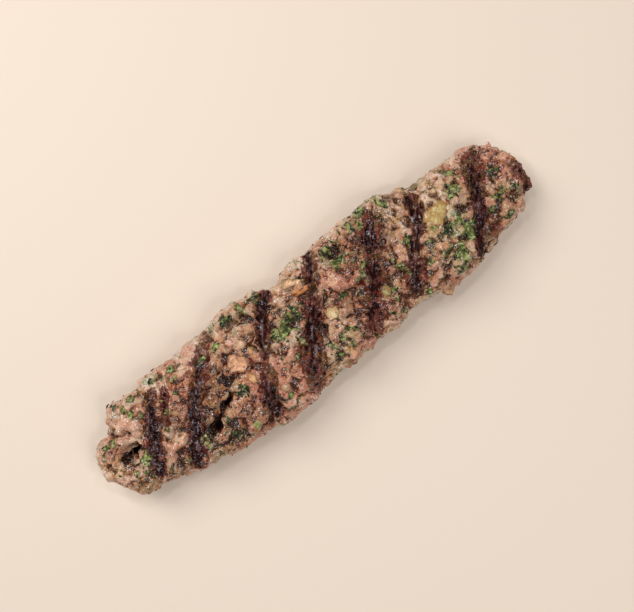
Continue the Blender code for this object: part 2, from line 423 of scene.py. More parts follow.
def ragged(places, rags):
    """The places moved sideways by noise, so that what is drawn with them is ragged."""
    for size, reach in rags:
        shift = [noise.noise_vector(Vector(p) / (size * MM) + RAGS_START) for p in places]
        places = places + reach * MM * np.array(shift).reshape(-1, 3)
    return places


def depth_of(hollows, places, wall):
    """How deep the hollows are at the places. A high wall power makes their walls steep."""
    depth = np.zeros(len(places))
    for x, y, half_length, half_width, turn, deepest in hollows:
        away = np.hypot(places[:, 0] / MM - x, places[:, 1] / MM - y)
        near = np.flatnonzero(away < OUT_OF_REACH * (max(half_length, half_width) + 1.0))
        moved = ragged(places[near], HOLE_RAGS)
        c, s = math.cos(math.radians(turn)), math.sin(math.radians(turn))
        dx, dy = moved[:, 0] / MM - x, moved[:, 1] / MM - y
        along, across = (dx * c + dy * s) / half_length, (dy * c - dx * s) / half_width
        found = deepest * MM * np.exp(-((along**2 + across**2) ** wall))
        depth[near] = np.maximum(depth[near], found)
    return depth


# Where the mince looks otherwise than the rest: centre x, y, radius in millimetres, strength.
REGIONS = {
    "rosy": (
        (-95, 9, 8, 0.9), (-80, 16, 12, 0.5), (-78, -6, 7, 0.8), (-58, 4, 9, 0.6), (-50, 22, 14, 0.6),
        (-28, -8, 12, 0.9), (-20, -14, 8, 0.8), (16, 7, 9, 1), (6, 10, 6, 0.5), (17, -7, 8, 0.6),
        (36, -15, 8, 0.5), (92, 13, 13, 1), (98, 2, 8, 0.9), (-62, -9, 5, 0.6), (8, -12, 8, 0.4),
        (84, -10, 6, 0.4), (-84, 12, 6, 0.5), (-20, -23, 12, 1), (12, -23, 10, 0.9),
        (50, -19, 8, 0.6), (-46, -23, 10, 0.8),
    ),
    "dirty": (
        (-88, -13, 8, 0.6), (-56, -18, 10, 0.5), (-52, -6, 10, 0.9), (-43, 2, 7, 0.7),
        (-46, -14, 10, 0.7), (-66, 7, 6, 0.6), (23, 15, 7, 0.7), (30, 0, 12, 0.6), (26, -12, 8, 0.7),
        (101, -3, 6, 1), (-60, 14, 6, 0.3), (48, 4, 6, 0.4), (73, 2, 5, 0.4), (-10, 8, 8, 0.5),
        (40, 14, 9, 0.5), (-36, 10, 5, 0.3),
    ),
    "green": (
        (-90, 13, 8, 0.6), (-80, 19, 10, 0.6), (-30, 20, 9, 0.5), (-48, 18, 8, 0.4), (-11, 3, 9, 0.9),
        (22, 16, 8, 0.9), (40, 22, 16, 0.7), (65, -10, 16, 0.9), (72, 8, 8, 0.6), (82, 8, 8, 0.5),
        (90, -10, 12, 0.6), (-56, -16, 14, 0.6), (-86, -9, 9, 0.6), (4, -16, 14, 0.5),
        (60, 20, 12, 0.6), (30, -4, 8, 0.5), (44, -18, 10, 0.5), (-20, 22, 10, 0.5),
        (-66, 16, 8, 0.4),
    ),
    "amber": (
        (36.6, -15.2, 3.4, 1), (-48, 8, 6, 0.5), (-51, 1.5, 5, 0.8), (81, -13, 4.5, 0.9),
        (58, -8, 4, 0.6), (-66, -9.5, 5, 0.7), (-90, -10, 5, 0.6), (-38, 16.5, 5, 0.5),
        (-35.5, 9, 5, 0.5), (4, 13, 4, 0.7), (52, -5, 5, 0.6), (-56, 11, 4, 0.4), (90, -8, 4, 0.5),
        (33, 2, 4, 0.5), (98, 5, 5, 0.4), (5, -20, 5, 0.5),
    ),
    "pale": (
        (-67.4, -4.6, 3.8, 0.7), (-23.8, 9.4, 4.2, 0.7), (39.4, 3, 2.6, 0.8), (88, -1, 3.2, 0.5),
        (15, 8, 4, 0.4), (-95, 8, 4, 0.4), (4.5, -8.5, 4, 0.4), (60, 9.5, 4, 0.5), (-8, -6, 5, 0.3),
        (70, 12, 4, 0.5), (34, -6, 3, 0.4), (-53, 17.5, 4, 0.5), (21, -19, 5, 0.4), (-84, 12, 4, 0.4),
        (-60, -3, 3, 0.4),
    ),
    "ochre": (
        (64, -4, 12, 0.8), (62, 10, 8, 0.8), (76, -3, 8, 0.7), (50, -13, 8, 0.6), (4, 14, 6, 0.5),
        (8, -14, 10, 0.4), (-30, 14, 8, 0.5), (-50, 5, 8, 0.4), (90, -8, 8, 0.5), (-90, -10, 8, 0.5),
        (36, -18, 6, 0.4),
    ),
    # Pressed smooth and lighter; along the flank on the window lamp's side, partly painted light.
    "sleek": (
        (-33, 4.6, 4.4, 1), (-92, -4, 6, 1), (-87, 7, 5, 1), (-47, 18, 9, 1), (-80, 18, 8, 0.8),
        (-30, 20, 8, 0.7), (-95, 10, 6, 0.6), (74, 1, 4, 1), (10, 22, 9, 0.8), (-64, 21, 8, 0.9),
        (30, 24, 8, 0.6), (84, 17, 7, 0.6), (-10, 24, 7, 0.6), (-2, 12, 6, 0.5), (60, 14, 7, 0.5),
        (-69, -5, 6, 0.5), (40, -10, 7, 0.4), (10, -10, 6, 0.4),
    ),
}
FULL_WITHIN, NONE_BEYOND = 0.45, 1.1    # of a region's radius
OUT_OF_TOUCH = 3.0                      # half-widths added where the grill's bars don't reach


def strength_of(region, moved):
    """How strong the region is at the places."""
    strength = np.zeros(len(moved))
    for x, y, radius, full in region:
        away = np.hypot(moved[:, 0] / MM - x, moved[:, 1] / MM - y) / radius
        strength = np.maximum(strength, full * (1.0 - smooth_step(away, FULL_WITHIN, NONE_BEYOND)))
    return strength


def mark_out(mesh):
    """Stores what each place of the mesh is: burnt, open, hollow, flank, underside, region."""
    places, facing = points_of(mesh), points_of(mesh, "vertex_normals", "vector")
    facing = facing[:, 2]               # 1 on top, 0 on the flanks, -1 underneath
    top, top_burnt = marks_at(places, TOP_MARKS)
    under, under_burnt = marks_at(places, UNDER_MARKS)
    top += OUT_OF_TOUCH * smooth_step(-facing, -0.45, 0.0)
    under += OUT_OF_TOUCH * smooth_step(facing, -0.6, -0.2)
    upper = smooth_step(facing, -0.2, 0.2)
    keep_values(mesh, "bar_gap", np.minimum(top, under))
    keep_values(mesh, "burnt", np.where(top < under, top_burnt, under_burnt))
    keep_values(mesh, "hole", depth_of(HOLES, places, HOLE_WALL) * upper)
    dips, lumps = (depth_of(rows, places, DIP_WALL) for rows in (DIPS, LUMPS))
    keep_values(mesh, "dip", (dips - lumps) * upper)
    keep_values(mesh, "flank", 1.0 - smooth_step(np.abs(facing), 0.35, 0.75))
    keep_values(mesh, "under", smooth_step(-facing, 0.3, 0.8))
    moved = ragged(places, REGION_RAGS)
    for name, region in REGIONS.items():
        keep_values(mesh, name, strength_of(region, moved) * upper)


def strewn(start, closest, density, share, seed):
    """Random points on the mesh, none closer to another than the closest distance."""
    sockets = {"Mesh": start, "Distance Min": closest, "Density Max": density}
    sockets = {**sockets, "Density Factor": share, "Seed": seed}
    kind = {"distribute_method": "POISSON"}
    return start.node("GeometryNodeDistributePointsOnFaces", kind, sockets)


def spun(start, rotation, low, high, seed):
    """The rotation with a random turn of each point added, between two triples of angles."""
    spin = start.random(low, high, seed, "FLOAT_VECTOR")
    spin = start.node("FunctionNodeEulerToRotation", {}, {0: spin})
    settings = {"rotation_space": "LOCAL"}
    return start.node("FunctionNodeRotateRotation", settings, {0: rotation, 1: spin})


def placed(start, points, shape, rotation, scale, **sockets):
    """The shape, or one of a collection of shapes, at each point, as one mesh."""
    sockets = {name.replace("_", " "): value for name, value in sockets.items()}
    sockets = {"Points": points, "Instance": shape, "Rotation": rotation, "Scale": scale, **sockets}
    copies = start.node("GeometryNodeInstanceOnPoints", {}, sockets)
    return start.node("GeometryNodeRealizeInstances", {}, {"Geometry": copies})


def joined(start, *parts):
    """Several meshes as one."""
    whole = start.node("GeometryNodeJoinGeometry")
    for part in parts:
        start.tree.links.new(part.socket, whole.socket.node.inputs[0])
    return whole


def kept_low(mesh, level, share):
    """Leaves only a share of what stands above a level, and nothing below the table top."""
    spots = points_of(mesh)
    spots[:, 2] = np.maximum(spots[:, 2], 0.0)
    spots[:, 2] = np.minimum(spots[:, 2], level + (spots[:, 2] - level) * share)
    mesh.vertices.foreach_set("co", spots.astype(np.float32).ravel())
    mesh.update()


SAME_PLACE = 1e-6
COARSE_FACE, FINE_FACE = 0.9 * MM, 0.40 * MM    # sides of faces without and with crumbs
CRUMB_ROOM = 0.6 * MM                   # what the core gives way to the crumbs
FULL_TURN = 6.28
MOST_TRIANGLES = 196000

packed = frame["nodes"]["kofta"]
bar = put("bar", packed.data.copy())
net = bmesh.new()
net.from_mesh(bar.data)
bmesh.ops.remove_doubles(net, verts=net.verts, dist=SAME_PLACE)
net.to_mesh(bar.data)
net.free()

even = bar.modifiers.new("even_mesh", "REMESH")
even.mode, even.voxel_size = "VOXEL", COARSE_FACE
soft = bar.modifiers.new("no_facets", "SMOOTH")
soft.factor, soft.iterations = 0.5, 4
core = bar.modifiers.new("core", "DISPLACE")
core.strength, core.mid_level = -CRUMB_ROOM, 0.0
bar = solidified("bar", bar)
mark_out(bar.data)

meat_look = bpy.data.materials.new("grilled_mince")

# Crumbs of mince strewn over the core, fewest where it was pressed, and fused with it.
CRUMBS = {"Crumb Size": 1.3 * MM, "Crumb Spacing": 7.0 * MM}
wires, place, grow = geometry_tree("crumbs_of_mince", CRUMBS)
start, size, spacing = wires["Mesh"], wires["Crumb Size"], wires["Crumb Spacing"]
pressed = (start.stored("flank") * 0.6 + start.stored("under")).at_most(1.0)
pressed = pressed.at_least(start.stored("bar_gap").rise(1.2, 0.7) * 0.6)
pressed = pressed.at_least(start.stored("sleek") * 0.9)
opened = start.stored("hole") / MM
crumbly = place.speckle(12.0, 1.0).rise(0.40, 0.60)
kept = (1 - opened * 0.6).at_least(0.0) * (1 - pressed) * (0.2 + 0.8 * crumbly)
points = strewn(start, spacing * 0.5, 2.2 / (spacing * spacing), kept, 11)
turn = Wire(start.tree, points.socket.node.outputs["Rotation"])
turn = spun(start, turn, (-0.5, -0.5, 0.0), (0.5, 0.5, FULL_TURN), 12)
scale = start.random((0.7, 0.55, 0.45), (1.6, 1.1, 0.85), 13, "FLOAT_VECTOR")
scale = scale.scaled(size * start.random(0.45, 1.3, 14) * (1 - pressed * 0.5))
ball = start.node("GeometryNodeMeshIcoSphere", {}, {"Radius": 1.0, "Subdivisions": 3})
crumbs = placed(start, points, ball, turn, scale)
crumbs = crumbs.moved(Offset=place.shift(size * 2.0, size * 1.6, 3.0))
crumbed = grow("crumbed", bar, joined(start, crumbs, start), meat_look)
fuse = crumbed.modifiers.new("fuse", "REMESH")
fuse.mode, fuse.voxel_size = "VOXEL", FINE_FACE
soft = crumbed.modifiers.new("wet", "SMOOTH")
soft.factor, soft.iterations = 0.5, 5
meat = solidified("meat", crumbed)
mark_out(meat.data)

# Its relief: wide swells, lumps, knobs, mounds with cracks between them, and a fine grain.
RELIEF = {
    "Swell": 3.0 * MM, "Lump": 5.4 * MM, "Knob": 3.6 * MM, "Mound": 1.1 * MM, "Crack": 0.6 * MM,
    "Grain": 0.30 * MM, "Bar Sink": 0.6 * MM,
}
wires, place, grow = geometry_tree("relief_of_mince", RELIEF)
start = wires["Mesh"]
normal = start.node("GeometryNodeInputNormal")
flank, under, gap = (start.stored(name) for name in ("flank", "under", "bar_gap"))
smooth = (flank * 0.6).at_least(under).at_least(start.stored("sleek") * 0.9)
bent = start.vector("ADD", place, place.shift(5.0 * MM, 5.0 * MM, 3.0))
burnt = (gap + (place.speckle(2.5) - 0.5) * 1.2).rise(1.2, 0.6)
swell = (place.speckle(15.0, 2.0, 0.3) - 0.5) * wires["Swell"]
lump = (place.speckle(5.0, 3.0, 0.4) - 0.5) * wires["Lump"]
knob = (bent.cells(4.2, 0.55, "Color").part("X") - 0.5) * wires["Knob"]
mound = 0.45 - bent.cells(4.4, 0.45)
clods = 0.15 + 0.85 * place.speckle(8.0).rise(0.40, 0.60)
mound = mound * wires["Mound"] * clods
seam = start.math("ABSOLUTE", place.speckle(7.0, 5.0, 0.8, 0.62) - 0.5)
seam = seam.rise(0.022, 0.0) * place.speckle(9.0, 1.0).rise(0.50, 0.62)
coarse = place.speckle(9.0).rise(0.38, 0.6)
grain = 0.45 - place.cells(1.6, 0.3)
grain = grain * wires["Grain"] * (0.3 + coarse)
grain = grain + (place.speckle(1.0, 3.0, 0.0, 0.6) - 0.5) * wires["Grain"] * 1.5
height = swell * (1 - flank * 0.4) + (lump + knob + mound) * (1 - smooth * 0.7) * (1 - burnt * 0.4)
height = height + grain * (1 - smooth * 0.6) - seam * wires["Crack"] * (1 - smooth)
height = height - burnt * wires["Bar Sink"] - start.stored("hole") - start.stored("dip")
raised = start.moved(Offset=normal.scaled(height * (1 - under * 0.75)))
meat = grow("meat", meat, raised, meat_look)
thin = meat.modifiers.new("thin", "DECIMATE")
thin.ratio = min(1.0, MOST_TRIANGLES / (2.0 * len(meat.data.polygons)))
meat = solidified("meat", meat)
for old in list(bpy.context.scene.objects):
    if old.type == "MESH" and old not in (meat, table, packed):
        bpy.data.objects.remove(old)

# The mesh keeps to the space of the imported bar: flat below and no higher than its top.
kept_low(meat.data, level=23.8 * MM, share=0.4)
mark_out(meat.data)

# How far each place lies below those near it, and below those further away.
HOLLOWS = {"Near": 5, "Far": 45}
wires, place, grow = geometry_tree("hollows", HOLLOWS)
start = whole = wires["Mesh"]
normal = start.node("GeometryNodeInputNormal")
for name, rounds in (("crease", wires["Near"]), ("hollow", wires["Far"])):
    sockets = {"Value": place, "Iterations": rounds, "Weight": 1.0}
    blurred = start.node("GeometryNodeBlurAttribute", {"data_type": "FLOAT_VECTOR"}, sockets)
    away = start.vector("SUBTRACT", blurred, place)
    depth = start.vector("DOT_PRODUCT", away, normal, output="Value")
    whole = whole.storing(name, depth / MM)
finished = grow("meat_finished", meat, whole, meat_look)
bpy.data.objects.remove(meat)
meat = finished
meat.name = "meat"
meat.data.shade_smooth()


def surface(material):
    """A material's empty tree, places on the piece, and a function that ends the tree."""
    material.use_nodes = True
    tree = material.node_tree
    shader = tree.nodes["Principled BSDF"]

    def end(constants, **varying):
        for name, value in constants.items():
            shader.inputs[name].default_value = value
        for name, wire in varying.items():
            tree.links.new(wire.socket, shader.inputs[name.replace("_", " ")])
        return Wire(tree, shader.outputs[0])

    return Wire(tree), Wire(tree).node("ShaderNodeTexCoord", {}, {}, "Object"), end


def layered(under, *layers):
    """A colour with layers laid over it, each given as how much of it shows and its colour."""
    for share, tone in layers:
        under = share.colours(under, tone)
    return under


start, place, end = surface(meat_look)
gap, flank, burnt = (start.stored(name) for name in ("bar_gap", "flank", "burnt"))
crease, hollow, hole = start.stored("crease"), start.stored("hollow"), start.stored("hole") / MM
rosy, dirty, green, amber, pale, ochre, sleek = (start.stored(name) for name in REGIONS)

# Noise of many sizes: the wide kinds colour stretches of the bar, the others its lumps, beads
# and grains. Bent places make the round cells uneven.
bent = start.vector("ADD", place, place.shift(2.5 * MM, 1.6 * MM))
beads = 1 - bent.cells(1.9, 0.35) * 1.25
grains = 1 - bent.cells(0.9, 0.2) * 1.25
grit = place.speckle(0.75, 2.0, 0.0, 0.6)
broad = place.speckle(14.0, 2.0, 0.4)
hue, tint, patch = (place.speckle(wide, 2.0, 0.6) for wide in (7.0, 4.6, 3.4))
mottle = place.speckle(1.3, 3.0, 0.3, 0.6)
fine = place.speckle(0.42, 1.0, 0.5)
grain_gap_shade = place.speckle(0.9, 2.0, 0.8, 0.6)

# How light the flesh is: 0 in its darkest creases and 1 on its palest lumps.
# Painted light: lighter on the side towards the window lamp, from y = 8 mm and fully from 20 mm.
lamp_side_light = place.part("Y").rise(8.0 * MM, 20.0 * MM)
level = 0.54 + (broad - 0.5) * 1.2 + (patch - 0.5) * 0.8 + (mottle - 0.5) * 0.35
# Flanks and sleek stretches lighter: paler meat, and partly painted light where the lamps fall on them.
level = level - dirty * 0.20 + sleek * 0.22 - amber * 0.03 + flank * 0.30 + lamp_side_light * 0.08
# Painted shade: darker in creases and hollows.
level = level - (crease * 0.50 + hollow * 0.80).at_least(-0.20)
shades = level.rise(0.1, 0.9)

# The flesh from dark to light, in even steps: rare, fatty and well done.
STEPS = (0.0, 0.25, 0.50, 0.75, 1.0)
PINK = ((0.046, 0.008, 0.001), (0.20, 0.052, 0.012), (0.40, 0.146, 0.062), (0.55, 0.272, 0.154),
        (0.68, 0.450, 0.32))
TAN = ((0.046, 0.012, 0.001), (0.19, 0.068, 0.010), (0.38, 0.180, 0.052), (0.53, 0.310, 0.132),
       (0.66, 0.480, 0.28))
GREY = ((0.036, 0.010, 0.001), (0.145, 0.056, 0.015), (0.30, 0.158, 0.070), (0.49, 0.288, 0.168),
        (0.66, 0.480, 0.35))
pink, tan, grey = (level.ramp(*zip(STEPS, tones)) for tones in (PINK, TAN, GREY))
olive = shades.colours((0.060, 0.042, 0.012), (0.46, 0.34, 0.18))
leafy = bent.speckle(4.0, 4.0, 1.0, 0.6) + green * 0.10 + flank * 0.02
leafy = leafy.rise(0.585, 0.66)
leaf = (level * 0.5 + mottle - 0.24).ramp(
    (0.10, (0.010, 0.016, 0.004)), (0.42, (0.040, 0.066, 0.020)), (0.62, (0.100, 0.142, 0.055)),
    (0.90, (0.28, 0.35, 0.19)),
)
flush = place.speckle(9.0, 2.0, 0.5).rise(0.49, 0.60)
crusty = ((pale - (mottle - 0.5) * 0.8) * patch.rise(0.36, 0.46)).rise(0.15, 0.6)
flesh = layered(
    (hue + rosy * 0.16).rise(0.44, 0.57).colours(grey, pink),
    ((tint - rosy * 0.06 + ochre * 0.16).rise(0.48, 0.66), tan),
    (green * 0.45 * tint.rise(0.42, 0.56), olive),
    ((flank * 0.15 * (1 - rosy * 0.5)).at_least(sleek * 0.6), grey),
    (leafy * 0.75, leaf),
    (flush * 0.45, shades.colours((0.130, 0.018, 0.006), (0.56, 0.215, 0.125))),
    (rosy * 0.60 * hue.rise(0.38, 0.5), shades.colours((0.19, 0.038, 0.018), (0.57, 0.205, 0.125))),
    (amber * 0.75 * patch.rise(0.40, 0.52), shades.colours((0.16, 0.045, 0.010), (0.55, 0.235, 0.085))),
    (crusty, level.rise(0.15, 0.85).colours((0.26, 0.115, 0.050), (0.72, 0.44, 0.26))),
)

# On it lie bits of fat, and painted shade in pores, pits, hollows and small gaps.
# A film of juice is painted as highlights: pale dots and glints, gathered in clusters.
fat = place.speckle(2.2, 3.0, 0.8, 0.55).rise(0.58, 0.74) * (1 - leafy)
# Painted shade: small dark pores.
painted_pore_shade = place.speckle(1.1).rise(0.64, 0.74)
painted_pore_shade = painted_pore_shade * place.speckle(7.0).rise(0.48, 0.62)
# Painted shade: dark brown in hollows and creases, broken up by noise.
deep = hollow * 0.9 + crease * 0.3 + (patch - 0.5) * 1.6 + (tint - 0.5) - sleek * 0.8
# Painted shade: dark pits, a few more of them in hollows.
painted_pit_shade = place.speckle(2.6, 3.0, 0.5, 0.55)
painted_pit_shade = painted_pit_shade + hollow * 0.05 + dirty * 0.05 - sleek * 0.12
painted_highlight_clusters = 0.15 + 0.85 * place.speckle(2.6, 3.0).rise(0.46, 0.60)
painted_highlight_dots = fine.rise(0.58, 0.66) * painted_highlight_clusters
glints = place.speckle(0.50, 0.0, 0.4).rise(0.66, 0.71) * (0.2 + 0.8 * painted_highlight_clusters)
flesh = layered(
    flesh,
    (fat * 0.25, (0.66, 0.46, 0.35)),
    # Painted shade in pores, pits, hollows and small gaps follows the fat.
    (painted_pore_shade * 0.35, (0.07, 0.014, 0.005)),
    (deep.rise(0.25, 0.75) * 0.65, (0.060, 0.017, 0.003)),
    (painted_pit_shade.rise(0.645, 0.70) * 0.75 * (1 - pale), (0.040, 0.010, 0.002)),
    # Painted shade in the small gaps between grains.
    (grain_gap_shade.rise(0.45, 0.33) * 0.45 * (1 - sleek * 0.6), (0.120, 0.020, 0.003)),
    # Painted highlights: pale dots and white glints.
    (painted_highlight_dots * 0.42, (0.90, 0.82, 0.76)),
    (glints * 0.75, (1.0, 0.95, 0.92)),
    # Painted shade: the holes are dark inside, darker the deeper they go.
    (hole.rise(0.5, 1.4), hole.rise(0.9, 2.6).colours((0.085, 0.020, 0.009), (0.009, 0.0015, 0.0008))),
)

# The grill: a red halo, wine red or toasted scorch and black soot, streaked along the bars.
# The scorch and soot also carry painted highlights: sheen streaks, gleams, dots and glints.
BARS_TURN, STREAK_STRETCH = math.radians(54.0), 3.2
sockets = {"Vector": place, "Rotation": (0.0, 0.0, BARS_TURN), "Scale": (STREAK_STRETCH, 1.0, 1.0)}
dragged = start.node("ShaderNodeMapping", {"vector_type": "TEXTURE"}, sockets)
streak = dragged.speckle(1.5, 3.0, 0.3, 0.55)
wobble = (place.speckle(3.2, 3.0, 0.5, 0.55) - 0.5) * 2.9
wobble = wobble + (mottle - 0.5) * 0.6 + (streak - 0.5) * 1.6
across = gap * 0.80 + wobble * 0.7 + (hollow * 0.12 + crease * 0.15).at_least(-0.1)
halo = shades.colours((0.070, 0.009, 0.003), (0.40, 0.120, 0.066))
streaky = (streak * 0.6 + mottle * 0.4).rise(0.38, 0.62)
wine = streaky.colours((0.028, 0.002, 0.001), (0.180, 0.032, 0.018))
toast = streaky.colours((0.026, 0.006, 0.001), (0.190, 0.070, 0.020))
scorch = layered(
    (hue + (patch - 0.5) * 0.6).rise(0.52, 0.44).colours(wine, toast),
    # Painted highlights: pale dots and glints on the scorch.
    (painted_highlight_dots * 0.12, (0.60, 0.42, 0.38)),
    (glints * 0.3, (0.85, 0.78, 0.80)),
)
char = (across - burnt * 1.5 + 0.66).rise(0.12, -0.18)
# Painted highlights on the soot are strongest in patches and towards the end at x below -50 mm.
painted_sheen_end = place.part("X").rise(-50.0 * MM, -60.0 * MM)
painted_sheen_patches = place.speckle(4.4, 3.0, 0.5).rise(0.46, 0.60).at_least(painted_sheen_end * 0.85)
gleam = dragged.speckle(0.75, 1.0, 0.3).rise(0.60, 0.70) * painted_highlight_clusters
black = (streak * 0.7 + mottle * 0.3).rise(0.44, 0.60)
soot = layered(
    black.colours((0.0100, 0.0008, 0.0003), (0.080, 0.016, 0.010)),
    # Painted sheen and highlights along the bars: streaks, gleams, dots and glints.
    (streak.rise(0.53, 0.64) * (0.25 + 0.4 * painted_sheen_patches), (0.17, 0.125, 0.12)),
    (gleam * (0.3 + 0.7 * painted_sheen_patches) * 0.6, (0.46, 0.48, 0.54)),
    (painted_highlight_dots * painted_highlight_clusters * painted_sheen_patches * 0.14, (0.42, 0.36, 0.38)),
    (glints * 0.5 * painted_sheen_patches, (0.66, 0.66, 0.74)),
)
colour = layered(
    flesh,
    (across.rise(2.2, 1.1) * burnt * 0.35, halo),
    (across.rise(1.25, 1.0) * burnt.rise(0.1, 0.6) * 0.9, scorch),
    (char * 0.97, soot),
)

# Dull crust, and a smoother wet film over part of it.
CRUST = {"IOR": 1.45, "Specular IOR Level": 0.08, "Roughness": 0.5}
SHINE_THROUGH = {
    "Subsurface Weight": 0.25, "Subsurface Radius": (1.0, 0.4, 0.2), "Subsurface Scale": 1.2 * MM,
}
FILM = {"IOR": 1.45, "Specular IOR Level": 0.30, "Roughness": 0.13}
bump = (beads * 0.45 + grains * 0.25 + grit).bump(1.1 * MM)
sheen = (beads * 0.6 + grains * 0.35 + grit * 0.5).bump(0.22 * MM)
dry = end({**CRUST, **SHINE_THROUGH}, Base_Color=colour, Normal=bump)
wet = start.node("ShaderNodeBsdfPrincipled", {}, {**FILM, "Base Color": colour, "Normal": sheen})
juicy = (place.speckle(1.6, 3.0, 0.4, 0.6) + leafy * 0.03).rise(0.51, 0.56)
juicy = juicy * (1 - hollow.rise(0.4, 1.6)) * (1 - hole.rise(0.2, 0.8)) * (1 - char * 0.65)
both = start.node("ShaderNodeMixShader", {}, {0: juicy, 1: dry, 2: wet})
start.tree.links.new(both.socket, start.tree.nodes["Material Output"].inputs["Surface"])

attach(meat, "root")
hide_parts("kofta")


# ---- The parsley ------------------------------------------------------------------------------
# Flat parsley, chopped by hand and kneaded into the mince. Scraps of leaf lie on the meat and
# bend with it, most of them half sunk in it and dulled by its juice, and some stand up. Small
# flecks are everywhere, and the larger scraps lie where the list says.

# Chosen places: x, y, how far the scraps spread, how many, their length, how bright they are.
LEAVES = (
    (-100.6, 6.2, 0.4, 1, 2.6, 0.9), (-95, 11.6, 2.4, 5, 3, 0.7), (-92.6, 12.8, 1.6, 3, 2.6, 0.3),
    (-90.4, 7.2, 1.2, 2, 2.6, 0.5), (-97.6, -1.8, 0.6, 1, 2.4, 0.6), (-93.4, -4.4, 0.2, 1, 3.6, 0.3),
    (-84.6, -2.8, 2.2, 7, 2.6, 0.85), (-87.6, -1.2, 1, 3, 2.4, 0.35),
    (-86.4, -11.4, 1.6, 4, 2.2, 0.5), (-79, 15.2, 1.2, 3, 3, 0.65), (-75.2, 11.8, 1.6, 3, 2.6, 0.2),
    (-80.6, 21, 2, 4, 2.4, 0.45), (-75, 20, 2.2, 5, 2.4, 0.45), (-70.4, -0.4, 1.4, 3, 2.2, 0.6),
    (-65.6, 6.4, 0.5, 2, 3.4, 0.9), (-60.6, 10.6, 1.2, 3, 2.6, 0.25), (-56.8, 15.2, 0.4, 1, 2.4, 0.9),
    (-64, 21.6, 2.4, 5, 2.4, 0.5), (-54.6, 20.6, 2, 4, 2.4, 0.4), (-60, -14.2, 1.4, 4, 2.8, 0.8),
    (-58.6, -10.6, 0.8, 2, 3, 0.85), (-51.2, -18.6, 1.6, 4, 2.4, 0.25),
    (-42, -20.2, 0.9, 3, 3.2, 0.9), (-49.8, -12, 1.4, 3, 2.4, 0.15), (-45.2, 14.4, 1.6, 3, 2.4, 0.15),
    (-36.4, 14.8, 1, 3, 2.6, 0.6), (-27.6, 21.2, 1.4, 4, 3.4, 0.3), (-19, 23, 2.2, 4, 2.6, 0.5),
    (-12, 22.6, 1.8, 4, 3, 0.25), (-36, -4.6, 2.2, 6, 3.4, 0.35), (-12.2, 2.8, 3.2, 22, 2.8, 0.62),
    (-5, 6.2, 2.8, 12, 4.4, 0.12), (-8.4, -1.2, 1.6, 5, 3, 0.3), (-18.2, -5.2, 1.4, 3, 2.2, 0.5),
    (-12.6, -7.4, 1.2, 3, 2.2, 0.55), (-23.2, -18.4, 1.2, 3, 2.2, 0.7),
    (-26.4, -22.8, 1.8, 3, 2.2, 0.4), (-79, -14.6, 1.8, 4, 2, 0.6), (-71.2, -15.4, 1.6, 4, 2.2, 0.5),
    (1.4, 21.8, 1.4, 3, 3, 0.6), (5.6, 17.2, 1.6, 4, 3, 0.15), (19.2, 19.2, 2.6, 7, 2.8, 0.45),
    (24.4, 21.4, 1, 3, 2.6, 0.3), (21.6, 13.4, 1.6, 6, 3.2, 0.6), (32.6, 23.4, 2.2, 4, 2.8, 0.7),
    (42.8, 23, 2.6, 6, 2.8, 0.5), (51, 21.8, 3, 6, 2.8, 0.5), (37.8, 19.2, 0.8, 2, 2.2, 0.85),
    (30.2, 6.2, 1.6, 4, 2.8, 0.3), (26.2, 3.8, 1.2, 3, 2.2, 0.8), (15.6, 0.8, 2, 4, 2.6, 0.2),
    (32.4, -9.6, 1.6, 4, 2.6, 0.3), (47.6, 3.8, 2, 6, 2.6, 0.5), (39.2, 0.4, 0.6, 2, 1.8, 0.9),
    (41.6, -3, 1.2, 3, 2.4, 0.75), (59, 0.1, 0.6, 2, 2.4, 0.95), (63.2, -3, 1.2, 3, 3.2, 0.45),
    (50.8, -8.2, 2.2, 6, 2.6, 0.65), (60.8, -9, 0.6, 2, 2, 0.9), (57.4, -9.4, 1.2, 3, 2.4, 0.15),
    (51.8, -16.6, 1.4, 4, 3, 0.5), (62.4, -13.8, 2.4, 8, 3.2, 0.75), (60, -19.4, 2.8, 6, 2.8, 0.75),
    (69, -3.4, 1.6, 4, 3.2, 0.55), (71.2, -8.8, 3, 14, 3.4, 0.75), (74, 7.6, 1.8, 7, 3, 0.7),
    (78, 15.6, 1.2, 4, 2.6, 0.75), (82.2, 9, 1.2, 3, 2.6, 0.45), (85.8, 19, 1.2, 3, 2.2, 0.3),
    (76.2, 18.8, 1.8, 4, 2.6, 0.25), (92, 5.2, 2, 4, 3, 0.2), (89.2, -4.6, 1.4, 4, 2.8, 0.25),
    (83, -7.6, 1.2, 3, 2.4, 0.2), (95, -8, 1.6, 4, 2.6, 0.4), (88.2, -14.4, 1.6, 4, 2.2, 0.25),
    (1, -12.4, 1.2, 4, 2.2, 0.65), (6, -11.4, 1.4, 4, 2.2, 0.55), (10.8, -11.4, 1.4, 4, 2.2, 0.55),
    (0.6, -18, 1.6, 4, 2.8, 0.15), (8.2, -16.6, 1, 2, 1.8, 0.6), (16.2, -21.4, 1.4, 3, 2, 0.3),
    (32.2, -20.6, 1.2, 3, 2.6, 0.3), (27, -16, 1.6, 4, 2.4, 0.2), (44, -18.4, 2, 4, 2.2, 0.4),
)

LEAF_SHARE = 1.15                       # leaves for each one that the list counts
LAID_FROM = 22.0 * MM
LOBE_DEPTH = 0.22

# Leaves and onion follow the meat without its crumbs.
calmed = put("calmed", meat.data.copy())
calm = calmed.modifiers.new("calm", "SMOOTH")
calm.factor, calm.iterations = 0.5, 8
soft_meat = solidified("soft_meat", calmed)
bpy.data.objects.remove(calmed)

